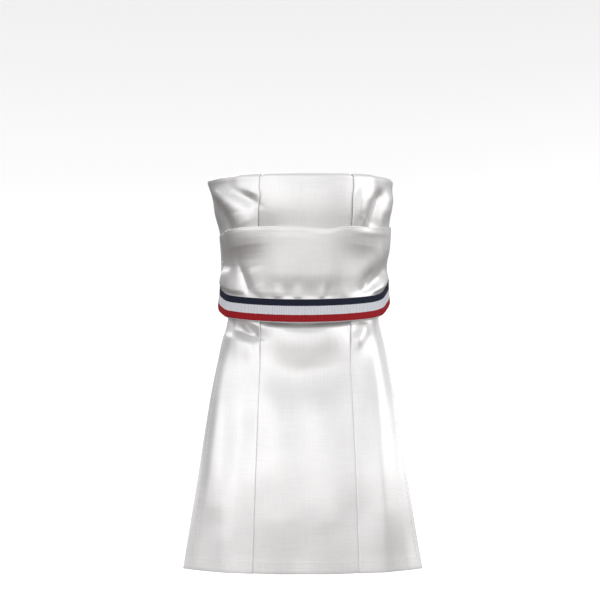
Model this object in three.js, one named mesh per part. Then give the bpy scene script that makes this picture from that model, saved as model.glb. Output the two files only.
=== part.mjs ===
// A ready-tied riding stock tie in white satin, in the form that it has when worn. A neck band closes at
// the back of the neck with a hook-and-loop patch. A pleated front turns over the band's top edge and hangs
// down as a bib. A cross band is wrapped over the front, with a striped ribbon along its lower edge.
//
// Millimetres, +Z up. The wearer faces -Y. Left and right are as seen from the front, so right is +X. The
// origin is on the neck's axis, in the middle of the neck opening, 61 mm below the neck band's top edge.
import * as THREE from "three";

// Cloth thicknesses, and the clear space that is left between two layers, and on both sides of the front.
const BAND_THICK = 2.0;
const FRONT_THICK = 1.0;
const CROSS_THICK = 1.5;
const RIBBON_THICK = 1.0;
const PATCH_THICK = 2.3;
const GAP = 0.3;
const FRONT_GAP = 0.5;

// How far the middle of each layer stands out from the middle of the neck band.
const PLEAT_PITCH = FRONT_THICK + GAP;
const PANEL_LEVEL = BAND_THICK / 2 + FRONT_GAP + FRONT_THICK / 2;
const RETURN_LEVEL = PANEL_LEVEL + PLEAT_PITCH;
const SIDE_LEVEL = RETURN_LEVEL + PLEAT_PITCH;
const CROSS_LEVEL = SIDE_LEVEL + FRONT_THICK / 2 + FRONT_GAP + CROSS_THICK / 2;
const CROSS_END_LEVEL = PANEL_LEVEL + FRONT_THICK / 2 + FRONT_GAP + CROSS_THICK / 2;
const RIBBON_ABOVE_CROSS = CROSS_THICK / 2 + GAP + RIBBON_THICK / 2;

// Neck band: its top edge, how far that dips at the sides (below zero, it rises there), and its lower edge
// at the front and at the back, which stays low round to the sides. The front's rim turns about a line over
// the top edge, and between the pleats it stands as much higher as the pleats are thick.
const BAND_TOP = 60.8;
const RIM_CENTRE = 61.5;
const RIM_DIP = -1.4;
const RIM_RISE = 2 * PLEAT_PITCH;
const RIM_RISE_OVER = 4;
const BAND_LOW_FRONT = -24;
const BAND_LOW_BACK = 0;
const BAND_LOW_SHAPE = 0.6;

// Back closing: the band's ends overlap by twice this angle, with the patch between them.
const OVERLAP_HALF_DEG = 21.5;
const OVERLAP_RISE_DEG = 18;
const OVERLAP_CLEAR_DEG = 2;
const PATCH_HALF_DEG = 16;
const PATCH_LOW = 12;
const PATCH_HIGH = 50;
const OUTER_END_LEVEL = BAND_THICK + 2 * GAP + PATCH_THICK;

// The worn form at the middle of the neck band, as half ellipses about a centre: half widths to the left
// and to the right, depth to the front and to the back, and the centre's place along Y. Below z -30 it is
// the upper chest.
const FORM = [
  { z: 66, left: 71.0, right: 66.8, front: 56.8, back: 60.0, centre: 0 },
  { z: 52, left: 66.8, right: 65.4, front: 59.6, back: 58.6, centre: 0 },
  { z: 40, left: 65.0, right: 64.0, front: 60.4, back: 57.4, centre: 0 },
  { z: 26, left: 61.3, right: 62.6, front: 59.6, back: 56.0, centre: 0 },
  { z: 0, left: 58.6, right: 61.8, front: 58.0, back: 54.0, centre: 0 },
  { z: -20, left: 59.5, right: 62.0, front: 58.2, back: 53.0, centre: 0 },
  { z: -41, left: 64.0, right: 66.0, front: 60.5, back: 53.0, centre: 0 },
  { z: -60, left: 74.0, right: 75.0, front: 64.0, back: 53.0, centre: -1.5 },
  { z: -80, left: 86.0, right: 86.0, front: 70.0, back: 53.0, centre: -2.0 },
  { z: -110, left: 104.0, right: 104.0, front: 78.0, back: 53.0, centre: -3.5 },
  { z: -150, left: 124.0, right: 124.0, front: 86.0, back: 53.0, centre: -6.0 },
  { z: -210, left: 146.0, right: 146.0, front: 92.0, back: 53.0, centre: -9.0 },
];

// Front: how far it reaches to each side of the middle, measured along the cloth, and where its two pleats
// lie.
const FRONT = [
  { z: 66, leftEdge: 93, rightEdge: 103, leftPleat: 29.2, rightPleat: 37.6 },
  { z: 56, leftEdge: 88, rightEdge: 101, leftPleat: 30.1, rightPleat: 37.9 },
  { z: 50, leftEdge: 84.5, rightEdge: 99.5, leftPleat: 29.1, rightPleat: 37.2 },
  { z: 40, leftEdge: 77, rightEdge: 97, leftPleat: 30.4, rightPleat: 36.8 },
  { z: 26, leftEdge: 73.5, rightEdge: 92, leftPleat: 30.4, rightPleat: 36.0 },
  { z: 0, leftEdge: 70, rightEdge: 78, leftPleat: 29.2, rightPleat: 35.4 },
  { z: -20, leftEdge: 64, rightEdge: 69, leftPleat: 28.8, rightPleat: 35.0 },
  { z: -41, leftEdge: 61, rightEdge: 65, leftPleat: 28.8, rightPleat: 34.8 },
  { z: -80, leftEdge: 65, rightEdge: 68, leftPleat: 29.4, rightPleat: 35.4 },
  { z: -150, leftEdge: 74, rightEdge: 76, leftPleat: 31.4, rightPleat: 37.4 },
  { z: -210, leftEdge: 83, rightEdge: 85, leftPleat: 33.0, rightPleat: 39.0 },
];
const LEFT_PLEAT_DEPTH = 13;
const RIGHT_PLEAT_DEPTH = 14;
const PLEAT_CLEAR = 1.4;
const PLEAT_TURNS_DEG = [30, -30];
const PLEAT_RAMP = 7;
const HEM_Z = -210;
const FACING_Z = 50;

// Cross band: its top edge by distance from the middle, its lower edge, its two ends and its ribbon.
const CROSS_TOP = [
  { s: -82, z: 22.4 },
  { s: -56, z: 24.9 },
  { s: -38, z: 27.0 },
  { s: -28, z: 27.6 },
  { s: 0, z: 26.8 },
  { s: 16, z: 25.5 },
  { s: 31, z: 27.9 },
  { s: 50, z: 27.3 },
  { s: 66, z: 28.2 },
  { s: 94, z: 30.5 },
];
const CROSS_TOP_MIDDLE = 26;
const CROSS_LEFT_END = 78;
const CROSS_RIGHT_END = 92;
const CROSS_LOW = -41.3;
const CROSS_RISE = 0.001;
const CROSS_END_RISE = 0.006;
const CROSS_END_RISE_FROM = 50;
const CROSS_SETTLES = 13;
const RIBBON_WIDTH = 16;
const RIBBON_MARGIN = 0.8;

// Folds: each has a crest that runs through three points, a height, and how far it slopes away to each side
// of the crest, walking from the first point to the last with the left hand to the first side.
const SIDE_FOLDS = [
  { s: [-84, -46, -38], z: [68, 47, 12], height: 4.4, leftHand: 13, rightHand: 6.5 },
  { s: [-52, -38, -24], z: [64, 58, 49], height: 2.6, leftHand: 9, rightHand: 4 },
  { s: [63, 49, 41], z: [64, 50, 20], height: 3.6, leftHand: 6.5, rightHand: 14 },
  { s: [84, 78, 72], z: [66, 44, 20], height: 3.0, leftHand: 13, rightHand: 13 },
  { s: [-60, -42, -28], z: [-57, -59, -60], height: 2.8, leftHand: 3, rightHand: 10 },
  { s: [50, 46, 34.5], z: [-42, -53, -57], height: 2.8, leftHand: 7, rightHand: 4 },
  { s: [-62, -58, -60], z: [-70, -120, -200], height: 3.0, leftHand: 9, rightHand: 9 },
  { s: [62, 60, 62], z: [-70, -130, -200], height: 2.6, leftHand: 9, rightHand: 9 },
];
const PANEL_FOLDS = [
  { s: [-26, 2, 30], z: [-44, -62, -44], height: 3.4, leftHand: 8, rightHand: 9 },
];
const CROSS_FOLDS = [
  { s: [-68, -47, -43], z: [-8, -12, -26], height: 2.6, leftHand: 7, rightHand: 4.5 },
  { s: [82, 61, 51], z: [-10, -13, -26], height: 2.6, leftHand: 6, rightHand: 4 },
  { s: [-32, 0, 38], z: [-4, -7, -5], height: 1.7, leftHand: 22, rightHand: 11 },
];
const FOLDS_START = 8;
const FOLD_STEPS = 16;
const ROWS_RISE_OVER = 35;
const EDGE_SHARE = 0.25;
const EDGE_REACH = 8;
const TUCK_CLEAR = 0.8;
const TUCK_ABOVE = 6;
const TUCK_BELOW = 4;
const FOLDS_END = 8;
const FADE_AT_ENDS = 0.35;
const FADE_IN = 2.6;

// Goes smoothly from 0 at one place to 1 at another.
function rising(from, to, x) {
  const share = THREE.MathUtils.smoothstep(x, Math.min(from, to), Math.max(from, to));
  return from < to ? share : 1 - share;
}

// A column of a table at a place between its rows, on a smooth curve through them.
function column(table, by, key, at) {
  const ahead = table[1][by] > table[0][by] ? 1 : -1;
  let i = 0;
  while (i < table.length - 2 && ahead * (at - table[i + 1][by]) > 0) i++;
  const slope = (a, b) => (table[b][key] - table[a][key]) / (table[b][by] - table[a][by]);
  const start = slope(Math.max(i - 1, 0), i + 1);
  const end = slope(i, Math.min(i + 2, table.length - 1));
  const span = table[i + 1][by] - table[i][by];
  const t = THREE.MathUtils.clamp((at - table[i][by]) / span, 0, 1);
  const h = 2 * t ** 3 - 3 * t ** 2 + 1;
  return (
    h * table[i][key] +
    (1 - h) * table[i + 1][key] +
    (t ** 3 - 2 * t ** 2 + t) * span * start +
    (t ** 3 - t ** 2) * span * end
  );
}

// The form's outline at a height: the point, the outward direction and the direction to the right at an
// angle. The angle is 0 at the front, positive to the right and 180 degrees at the back.
function formAt(z, angle) {
  const width = column(FORM, "z", Math.sin(angle) < 0 ? "left" : "right", z);
  const depth = column(FORM, "z", Math.cos(angle) < 0 ? "back" : "front", z);
  const centre = column(FORM, "z", "centre", z);
  const point = new THREE.Vector3(width * Math.sin(angle), centre - depth * Math.cos(angle), z);
  const along = new THREE.Vector3(width * Math.cos(angle), depth * Math.sin(angle), 0).normalize();
  return { point, along, out: new THREE.Vector3(along.y, -along.x, 0) };
}

// The angle that lies a distance along the form's outline from the middle of the front.
const ANGLE_STEP = THREE.MathUtils.degToRad(1);
function angleOf(s, z) {
  const width = column(FORM, "z", s < 0 ? "left" : "right", z);
  const depth = column(FORM, "z", "front", z);
  let angle = 0;
  let left = Math.abs(s);
  for (;;) {
    const middle = angle + ANGLE_STEP / 2;
    const length = Math.hypot(width * Math.cos(middle), depth * Math.sin(middle)) * ANGLE_STEP;
    if (length >= left) return Math.sign(s) * (angle + (ANGLE_STEP * left) / length);
    left -= length;
    angle += ANGLE_STEP;
  }
}

// How high the folds of a table stand at a place on the cloth.
function foldsAt(folds, s, z) {
  return folds.reduce((sum, fold) => sum + foldAt(fold, s, z), 0);
}

function foldAt(fold, s, z) {
  const at = (key, t) => {
    const [first, second, third] = fold[key];
    return (1 - t) ** 2 * first + 2 * t * (1 - t) * second + t ** 2 * third;
  };
  let best = { away: Infinity, t: 0, side: 1 };
  for (let k = 0; k <= FOLD_STEPS; k++) {
    const t = k / FOLD_STEPS;
    const toS = s - at("s", t);
    const toZ = z - at("z", t);
    const away = Math.hypot(toS, toZ);
    if (away >= best.away) continue;
    const runS = at("s", t + 0.01) - at("s", t - 0.01);
    const runZ = at("z", t + 0.01) - at("z", t - 0.01);
    best = { away, t, side: runS * toZ - runZ * toS };
  }
  const reach = best.side > 0 ? fold.leftHand : fold.rightHand;
  const fade = Math.min(1, FADE_AT_ENDS + FADE_IN * Math.min(best.t, 1 - best.t));
  return fold.height * fade * Math.exp(-((best.away / reach) ** 2));
}

// The neck band's lower edge, and how far its top edge dips.
function bandLow(angle) {
  const forward = (1 + Math.cos(angle)) / 2;
  return THREE.MathUtils.lerp(BAND_LOW_BACK, BAND_LOW_FRONT, forward ** BAND_LOW_SHAPE);
}
const rimDip = (angle) => RIM_DIP * Math.sin(angle) ** 2;

// The cross band's two edges and its level above the neck band. It steps down past the pleats, towards its
// ends.
const crossTop = (s) => column(CROSS_TOP, "s", "z", s);
function crossLow(s) {
  const past = Math.max(0, Math.abs(s) - CROSS_END_RISE_FROM);
  return CROSS_LOW + CROSS_RISE * s ** 2 + CROSS_END_RISE * past ** 2;
}
function crossLevel(s) {
  const [key, depth] = s < 0 ? ["leftPleat", LEFT_PLEAT_DEPTH] : ["rightPleat", RIGHT_PLEAT_DEPTH];
  const from = column(FRONT, "z", key, CROSS_TOP_MIDDLE) + depth + PLEAT_RAMP;
  const settled = rising(from, from + CROSS_SETTLES, Math.abs(s));
  return THREE.MathUtils.lerp(CROSS_LEVEL, CROSS_END_LEVEL, settled);
}

// How far the front's rows rise with the cross band's lower edge, so that the cloth turns out just below
// it.
function rowRise(s, z) {
  const above = rising(CROSS_LOW + ROWS_RISE_OVER, CROSS_LOW, z);
  const below = rising(CROSS_LOW - ROWS_RISE_OVER, CROSS_LOW, z);
  return above * below * (crossLow(s) - CROSS_LOW);
}

// A closed sheet of cloth from a grid of middle points, each with its outward direction.
function sheet(grid, thickness) {
  const rows = grid.length;
  const columns = grid[0].length;
  const positions = [];
  for (const side of [0.5, -0.5]) {
    for (const { point, out } of grid.flat()) {
      positions.push(...point.clone().addScaledVector(out, side * thickness));
    }
  }
  const inner = rows * columns;
  const index = [];
  const quad = (a, b, c, d) => index.push(a, b, c, a, c, d);
  const place = (row, col) => row * columns + col;
  for (let row = 0; row < rows - 1; row++) {
    for (let col = 0; col < columns - 1; col++) {
      const [a, b] = [place(row, col), place(row, col + 1)];
      const [d, c] = [place(row + 1, col), place(row + 1, col + 1)];
      quad(a, d, c, b);
      quad(inner + a, inner + b, inner + c, inner + d);
    }
  }
  const border = (a, b) => quad(a, b, inner + b, inner + a);
  for (let col = 0; col < columns - 1; col++) {
    border(place(0, col), place(0, col + 1));
    border(place(rows - 1, col + 1), place(rows - 1, col));
  }
  for (let row = 0; row < rows - 1; row++) {
    border(place(row + 1, 0), place(row, 0));
    border(place(row, columns - 1), place(row + 1, columns - 1));
  }
  const geometry = new THREE.BufferGeometry();
  geometry.setAttribute("position", new THREE.Float32BufferAttribute(positions, 3));
  geometry.setIndex(index);
  geometry.computeVertexNormals();
  return geometry;
}

// Turns each point's outward direction square to the cloth's run down the grid.
function squared(grid) {
  return grid.map((row, j) =>
    row.map(({ point, out }, i) => {
      const above = grid[Math.max(j - 1, 0)][i].point;
      const below = grid[Math.min(j + 1, grid.length - 1)][i].point;
      const down = below.clone().sub(above).normalize();
      return { point, out: out.clone().addScaledVector(down, -out.dot(down)).normalize() };
    }),
  );
}

// Each point's outward direction, from its neighbours in the grid.
function facing(grid) {
  const last = { row: grid.length - 1, col: grid[0].length - 1 };
  return grid.map((row, j) =>
    row.map((point, i) => {
      const down = grid[Math.min(j + 1, last.row)][i].clone().sub(grid[Math.max(j - 1, 0)][i]);
      const across = row[Math.min(i + 1, last.col)].clone().sub(row[Math.max(i - 1, 0)]);
      return { point, out: down.cross(across).normalize() };
    }),
  );
}

// Evenly spaced values from one to another.
function steps(from, to, count) {
  return Array.from({ length: count + 1 }, (_, i) => from + ((to - from) * i) / count);
}

// Neck band: one wall all round, whose right end passes outside its left end at the back.
function neckBand() {
  const [around, up] = [64, 8];
  const overlap = THREE.MathUtils.degToRad(OVERLAP_HALF_DEG);
  const risen = Math.PI - overlap - THREE.MathUtils.degToRad(OVERLAP_CLEAR_DEG);
  const flat = risen - THREE.MathUtils.degToRad(OVERLAP_RISE_DEG);
  const angles = steps(-Math.PI - overlap, Math.PI + overlap, around);
  const grid = steps(0, 1, up).map((v) =>
    angles.map((angle) => {
      const top = BAND_TOP - rimDip(angle);
      const { point, out } = formAt(THREE.MathUtils.lerp(top, bandLow(angle), v), angle);
      return point.addScaledVector(out, OUTER_END_LEVEL * rising(flat, risen, angle));
    }),
  );
  return sheet(facing(grid), BAND_THICK);
}

// Hook-and-loop patch between the band's two ends.
function backPatch() {
  const half = THREE.MathUtils.degToRad(PATCH_HALF_DEG);
  const level = (BAND_THICK + PATCH_THICK) / 2 + GAP;
  const grid = steps(PATCH_HIGH, PATCH_LOW, 2).map((z) =>
    steps(Math.PI - half, Math.PI + half, 8).map((angle) => {
      const { point, out } = formAt(z, angle);
      return point.addScaledVector(out, level);
    }),
  );
  return sheet(facing(grid), PATCH_THICK);
}

// The front's run across at a height, from its left edge to its right. Each stop has a distance from the
// middle, a level, how much of the side folds' height it takes, its rise at the rim, and the outward
// direction along the run and away from the neck.
function frontRun(z) {
  const half = (edgeKey, pleatKey, depth) => {
    const edge = column(FRONT, "z", edgeKey, z);
    const pleat = column(FRONT, "z", pleatKey, z);
    const back = pleat + depth;
    const foot = back + PLEAT_CLEAR;
    const radius = PLEAT_PITCH / 2;
    const level = (t) => THREE.MathUtils.lerp(SIDE_LEVEL, PANEL_LEVEL, rising(0, 1, t));
    const flat = (s, at, lift, turn = 1) => ({ s, level: at, lift, run: 0, out: turn });
    const stops = [];
    // The cloth's turn at a pleat's edge: towards the middle with side 1, and away from it with side -1.
    const turned = (edge, level, side, lifts) => {
      PLEAT_TURNS_DEG.forEach((turn, i) => {
        const angle = THREE.MathUtils.degToRad(turn);
        const [run, out] = [-Math.cos(angle), Math.sin(angle)];
        const s = edge + side * radius * run;
        stops.push({ s, level: level + radius * out, lift: lifts[i], run, out: side * out });
      });
    };
    for (const t of steps(1, 0.2, 4)) {
      stops.push(flat(foot + PLEAT_RAMP + t * (edge - foot - PLEAT_RAMP), PANEL_LEVEL, 1));
    }
    for (const t of [1, 2 / 3, 1 / 3, 0]) stops.push(flat(foot + t * PLEAT_RAMP, level(t), 1));
    const zone = [back, (back + pleat) / 2, pleat];
    for (const s of zone) stops.push(flat(s, SIDE_LEVEL, 1));
    turned(pleat, (SIDE_LEVEL + RETURN_LEVEL) / 2, 1, [0.83, 0.67]);
    for (const s of [...zone].reverse()) stops.push(flat(s, RETURN_LEVEL, 0.5, -1));
    turned(back, (RETURN_LEVEL + PANEL_LEVEL) / 2, -1, [0.33, 0.17]);
    for (const s of zone) stops.push(flat(s, PANEL_LEVEL, 0));
    return { pleat, stops };
  };
  const left = half("leftEdge", "leftPleat", LEFT_PLEAT_DEPTH);
  const right = half("rightEdge", "rightPleat", RIGHT_PLEAT_DEPTH);
  const middle = steps(-left.pleat + RIM_RISE_OVER, right.pleat - RIM_RISE_OVER, 6);
  const panel = { level: PANEL_LEVEL, lift: 0, rise: RIM_RISE, run: 0, out: 1, pleat: 0 };
  return [
    ...left.stops.map((stop) => ({ ...stop, s: -stop.s, run: -stop.run, rise: 0, pleat: left.pleat })),
    ...middle.map((s) => ({ ...panel, s })),
    ...right.stops.reverse().map((stop) => ({ ...stop, rise: 0, pleat: right.pleat })),
  ];
}

// How far a stop of the front stands out: the folds lie down at the rim, at a pleat's edge and under the
// cross band.
function frontRaise(stop, z) {
  const top = crossTop(THREE.MathUtils.clamp(stop.s, -CROSS_LEFT_END, CROSS_RIGHT_END));
  const low = crossLow(stop.s);
  const over = rising(top + TUCK_CLEAR, top + TUCK_ABOVE, z);
  const under = rising(low - TUCK_CLEAR, low - TUCK_BELOW, z);
  const rim = rising(BAND_TOP, BAND_TOP - FOLDS_END, z);
  const near = rising(0, EDGE_REACH, Math.abs(stop.s) - stop.pleat);
  const share = THREE.MathUtils.lerp(EDGE_SHARE, 1, near);
  const side = stop.lift ? stop.lift * share * foldsAt(SIDE_FOLDS, stop.s, z) : 0;
  return (over + under) * rim * (side + foldsAt(PANEL_FOLDS, stop.s, z));
}

// Pleated front: from its facing inside the neck band, over the rim and down to the hem, as one folded
// sheet.
function pleatedFront() {
  const outside = [56, 50, 44, 38, 34, 31, 28, 25, 16, -4, -24, -36, -41.5, -45.5, -51, -58, -66];
  const lower = [-78, -94, -114, -138, -164, -188, HEM_Z];
  const inside = [FACING_Z, (FACING_Z + RIM_CENTRE) / 2];
  const arc = [180, 135, 90, 45, 0];
  const row = (height, place) =>
    frontRun(height).map((stop) => {
      const z = height + rowRise(stop.s, height);
      const angle = angleOf(stop.s, z);
      const { point, along, out } = formAt(z, angle);
      const normal = new THREE.Vector3().addScaledVector(along, stop.run).addScaledVector(out, stop.out);
      return place({ stop, z, angle, point, out, normal });
    });
  const insideRow = (z) =>
    row(z, ({ stop, point, out, normal }) => ({
      point: point.addScaledVector(out, -stop.level),
      out: normal.addScaledVector(out, -2 * normal.dot(out)),
    }));
  const arcRow = (degrees) =>
    row(RIM_CENTRE, ({ stop, angle, out, normal }) => {
      const turn = THREE.MathUtils.degToRad(degrees);
      const { point } = formAt(RIM_CENTRE - rimDip(angle), angle);
      const lean = out.clone().multiplyScalar(Math.cos(turn)).setZ(Math.sin(turn));
      const outward = normal.dot(out);
      point.z += stop.rise;
      return {
        point: point.addScaledVector(lean, stop.level),
        out: normal.addScaledVector(out, -outward).addScaledVector(lean, outward),
      };
    });
  const outsideRow = (height) =>
    row(height, ({ stop, z, point, out, normal }) => ({
      point: point.addScaledVector(out, stop.level + frontRaise(stop, z)),
      out: normal,
    }));
  const down = squared([...outside, ...lower].map(outsideRow));
  return sheet([...inside.map(insideRow), ...arc.map(arcRow), ...down], FRONT_THICK);
}

// Cross band and ribbon share their columns, and the ribbon's edges are rows of the cross band.
const CROSS_COLUMNS = steps(-CROSS_LEFT_END, CROSS_RIGHT_END, 44);

function crossPoint(s, z, above) {
  const { point, out } = formAt(z, angleOf(s, z));
  return point.addScaledVector(out, crossLevel(s) + above + crossRaise(s, z));
}

// The cross band's folds lie down at its ends and under the ribbon.
function crossRaise(s, z) {
  const ribbonTop = crossLow(s) + RIBBON_MARGIN + RIBBON_WIDTH;
  const above = rising(ribbonTop, ribbonTop + FOLDS_START, z);
  const below = rising(crossTop(s), crossTop(s) - FOLDS_END, z);
  const end = s < 0 ? CROSS_LEFT_END : CROSS_RIGHT_END;
  const inside = rising(end, end - FOLDS_END, Math.abs(s));
  return above * below * inside * foldsAt(CROSS_FOLDS, s, z);
}

function crossBand() {
  const rows = 10;
  const ribbonRows = [1, 0.5, 0].map((t) => (s) => crossLow(s) + RIBBON_MARGIN + t * RIBBON_WIDTH);
  const upper = steps(0, 1, rows)
    .slice(0, -1)
    .map((t) => (s) => THREE.MathUtils.lerp(crossTop(s), ribbonRows[0](s), t));
  const heights = [...upper, ...ribbonRows, crossLow];
  const grid = heights.map((height) => CROSS_COLUMNS.map((s) => crossPoint(s, height(s), 0)));
  return sheet(facing(grid), CROSS_THICK);
}

function ribbon() {
  const heights = [1, 0.5, 0].map((t) => (s) => crossLow(s) + RIBBON_MARGIN + t * RIBBON_WIDTH);
  const place = (height) => CROSS_COLUMNS.map((s) => crossPoint(s, height(s), RIBBON_ABOVE_CROSS));
  const grid = heights.map(place);
  return sheet(facing(grid), RIBBON_THICK);
}

const satin = { color: 0xf1f0ee, roughness: 0.32, metalness: 0 };
const pieces = [
  { name: "neck_band", make: neckBand, look: satin },
  { name: "pleated_front", make: pleatedFront, look: satin },
  { name: "cross_band", make: crossBand, look: satin },
  { name: "striped_ribbon", make: ribbon, look: { color: 0x1b2040, roughness: 0.6, metalness: 0 } },
  { name: "hook_loop_patch", make: backPatch, look: { color: 0xe8e7e3, roughness: 0.9, metalness: 0 } },
];

const stockTie = new THREE.Group();
stockTie.name = "stock_tie";
for (const { name, make, look } of pieces) {
  const mesh = new THREE.Mesh(make(), new THREE.MeshStandardMaterial(look));
  mesh.name = name;
  stockTie.add(mesh);
}

export default stockTie;
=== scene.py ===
import math

import bpy
import numpy as np
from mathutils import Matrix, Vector

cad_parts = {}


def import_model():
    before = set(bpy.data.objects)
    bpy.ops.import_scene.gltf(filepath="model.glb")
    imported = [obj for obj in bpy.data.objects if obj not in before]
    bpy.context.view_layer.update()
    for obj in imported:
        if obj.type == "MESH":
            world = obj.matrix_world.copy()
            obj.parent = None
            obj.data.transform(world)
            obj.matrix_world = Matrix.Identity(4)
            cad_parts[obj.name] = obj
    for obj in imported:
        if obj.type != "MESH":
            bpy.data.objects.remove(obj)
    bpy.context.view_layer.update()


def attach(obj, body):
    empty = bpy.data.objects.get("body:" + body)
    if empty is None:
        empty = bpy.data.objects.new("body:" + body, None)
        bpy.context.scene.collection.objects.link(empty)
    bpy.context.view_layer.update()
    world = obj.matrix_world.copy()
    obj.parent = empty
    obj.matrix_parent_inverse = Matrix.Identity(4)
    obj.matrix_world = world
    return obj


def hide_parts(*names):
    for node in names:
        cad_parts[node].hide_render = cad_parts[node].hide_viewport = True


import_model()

# A ready-tied riding stock tie in white satin, as it is worn. The sizes are in millimetres, and the main
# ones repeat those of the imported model. The wearer faces -Y. Left and right are as seen from the front, so
# right is +X.
MM = 0.001

# Camera: level with the ribbon's upper edge, straight in front.
CAMERA_AT = (-1.0, -900.0, -25.0)
CAMERA_LENS = 70.8
CAMERA_SENSOR = 36.0

# The worn form at the middle of the neck band: at each height, how far it reaches to the left, right, front
# and back of a centre, with quarter ellipses between them.
FORM = [
    dict(z=66, left=71.0, right=66.8, front=56.8, back=60.0, centre=0),
    dict(z=52, left=66.8, right=65.4, front=59.6, back=58.6, centre=0),
    dict(z=40, left=65.0, right=64.0, front=60.4, back=57.4, centre=0),
    dict(z=26, left=61.3, right=62.6, front=59.6, back=56.0, centre=0),
    dict(z=0, left=58.6, right=61.8, front=58.0, back=54.0, centre=0),
    dict(z=-20, left=59.5, right=62.0, front=58.2, back=53.0, centre=0),
    dict(z=-41, left=64.0, right=66.0, front=60.5, back=53.0, centre=0),
    dict(z=-60, left=74.0, right=75.0, front=64.0, back=53.0, centre=-1.5),
    dict(z=-80, left=86.0, right=86.0, front=70.0, back=53.0, centre=-2.0),
    dict(z=-110, left=104.0, right=104.0, front=78.0, back=53.0, centre=-3.5),
    dict(z=-150, left=124.0, right=124.0, front=86.0, back=53.0, centre=-6.0),
    dict(z=-210, left=146.0, right=146.0, front=92.0, back=53.0, centre=-9.0),
]

# Front: how far it reaches to each side of the middle, along the cloth, and where its two pleats' edges lie.
FRONT = [
    dict(z=66, left_edge=93, right_edge=103, left_pleat=29.2, right_pleat=37.6),
    dict(z=56, left_edge=88, right_edge=101, left_pleat=30.1, right_pleat=37.9),
    dict(z=50, left_edge=84.5, right_edge=99.5, left_pleat=29.1, right_pleat=37.2),
    dict(z=40, left_edge=77, right_edge=97, left_pleat=30.4, right_pleat=36.8),
    dict(z=26, left_edge=73.5, right_edge=92, left_pleat=30.4, right_pleat=36.0),
    dict(z=0, left_edge=70, right_edge=78, left_pleat=29.2, right_pleat=35.4),
    dict(z=-20, left_edge=64, right_edge=69, left_pleat=28.8, right_pleat=35.0),
    dict(z=-41, left_edge=61, right_edge=65, left_pleat=28.8, right_pleat=34.8),
    dict(z=-80, left_edge=65, right_edge=68, left_pleat=29.4, right_pleat=35.4),
    dict(z=-150, left_edge=74, right_edge=76, left_pleat=31.4, right_pleat=37.4),
    dict(z=-210, left_edge=83, right_edge=85, left_pleat=33.0, right_pleat=39.0),
]
LEFT_PLEAT_DEPTH = 13.0
RIGHT_PLEAT_DEPTH = 14.0
PLEAT_CLEAR = 1.4
PLEAT_RAMP = 11.0
PANEL_RISE_OVER = 4.0
HEM_Z = -210.0
HEM_WIDTH = 8.0
HEM_STEP = 1.0
FACING_Z = 50.0

# Stitches. Along its length a stitch first rises out of the cloth, then dips back into it.
STITCH_PROFILE = [
    dict(share=0.0, lift=-0.12, thick=0.3),
    dict(share=0.15, lift=0.05, thick=0.9),
    dict(share=0.5, lift=0.14, thick=1.0),
    dict(share=0.85, lift=0.05, thick=0.9),
    dict(share=1.0, lift=-0.12, thick=0.3),
]
STITCH_LENGTH = 2.4
STITCH_GAP = 0.9
STITCH_RADIUS = 0.16
STITCH_SIDES = 6
STITCH_REACH = 0.2
HEM_STITCH_IN = 6.6
END_STITCH_IN = 3.5
CLOSURE_STITCH_IN = 2.0

# Cloth half thicknesses and the radii of rounded edges.
BAND_HALF = 0.8
FRONT_HALF = 0.16
HEM_HALF = 0.22
CROSS_HALF = 0.5
RIBBON_HALF = 0.3
PATCH_HALF = 1.0
CROSS_EDGE = 0.6
PATCH_EDGE = 0.5

# Levels: how far the middle of each layer stands out from the middle of the neck band.
PANEL_LEVEL = 3.1
FRONT_EDGE_LEVEL = 1.5
FRONT_EDGE_SETTLES = 12.0
PLEAT_PITCH = 0.5
RETURN_LEVEL = PANEL_LEVEL + PLEAT_PITCH
SIDE_LEVEL = RETURN_LEVEL + PLEAT_PITCH
CROSS_LEVEL = 5.8
CROSS_END_LEVEL = 4.2
CROSS_TIP_LEVEL = 2.8
CROSS_TIP = 10.0
RIBBON_LEVEL = 0.95

# Neck band, its rim and its back closing.
BAND_TOP = 60.8
RIM_CENTRE = 61.5
RIM_DIP = -1.4
RIM_RISE = 2 * PLEAT_PITCH
BAND_LOW_FRONT = -24.0
BAND_LOW_BACK = 0.0
BAND_LOW_SHAPE = 0.6
OVERLAP_HALF_DEG = 21.5
OVERLAP_RISE_DEG = 18.0
OVERLAP_CLEAR_DEG = 2.0
OUTER_END_LEVEL = 4.9
PATCH_HALF_DEG = 16.0
PATCH_LOW = 12.0
PATCH_HIGH = 50.0
PATCH_LEVEL = 2.45

# Rough sizes of the band, for the spacing of its points, its rounded edges and its map.
BAND_HEIGHT = 84.0
BAND_RADIUS = 58.0
BAND_MAP_RADIUS = 60.0

# Cross band: its top edge by distance from the middle, its lower edge, its two ends and its ribbon.
CROSS_TOP = [
    dict(s=-82, z=22.4),
    dict(s=-56, z=24.9),
    dict(s=-38, z=27.0),
    dict(s=-28, z=27.6),
    dict(s=0, z=26.8),
    dict(s=16, z=25.5),
    dict(s=31, z=27.9),
    dict(s=50, z=27.3),
    dict(s=66, z=28.2),
    dict(s=94, z=30.5),
]
CROSS_TOP_MIDDLE = 26.0
CROSS_LEFT_END = 78.0
CROSS_RIGHT_END = 92.0
CROSS_LOW = -41.3
CROSS_HEIGHT = 69.0
CROSS_RISE = 0.001
CROSS_END_RISE = 0.006
CROSS_END_RISE_FROM = 50.0
CROSS_SETTLES = 13.0
CROSS_ROLL = 0.35
CROSS_ROLL_START = 0.8
CROSS_ROLL_END = 2.6
CROSS_STITCHES_FROM = 1.0
RIBBON_WIDTH = 16.0
RIBBON_MARGIN = 0.8
RIB_PITCH = 1.15
RED_SHARE = 0.31
WHITE_SHARE = 0.39

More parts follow.
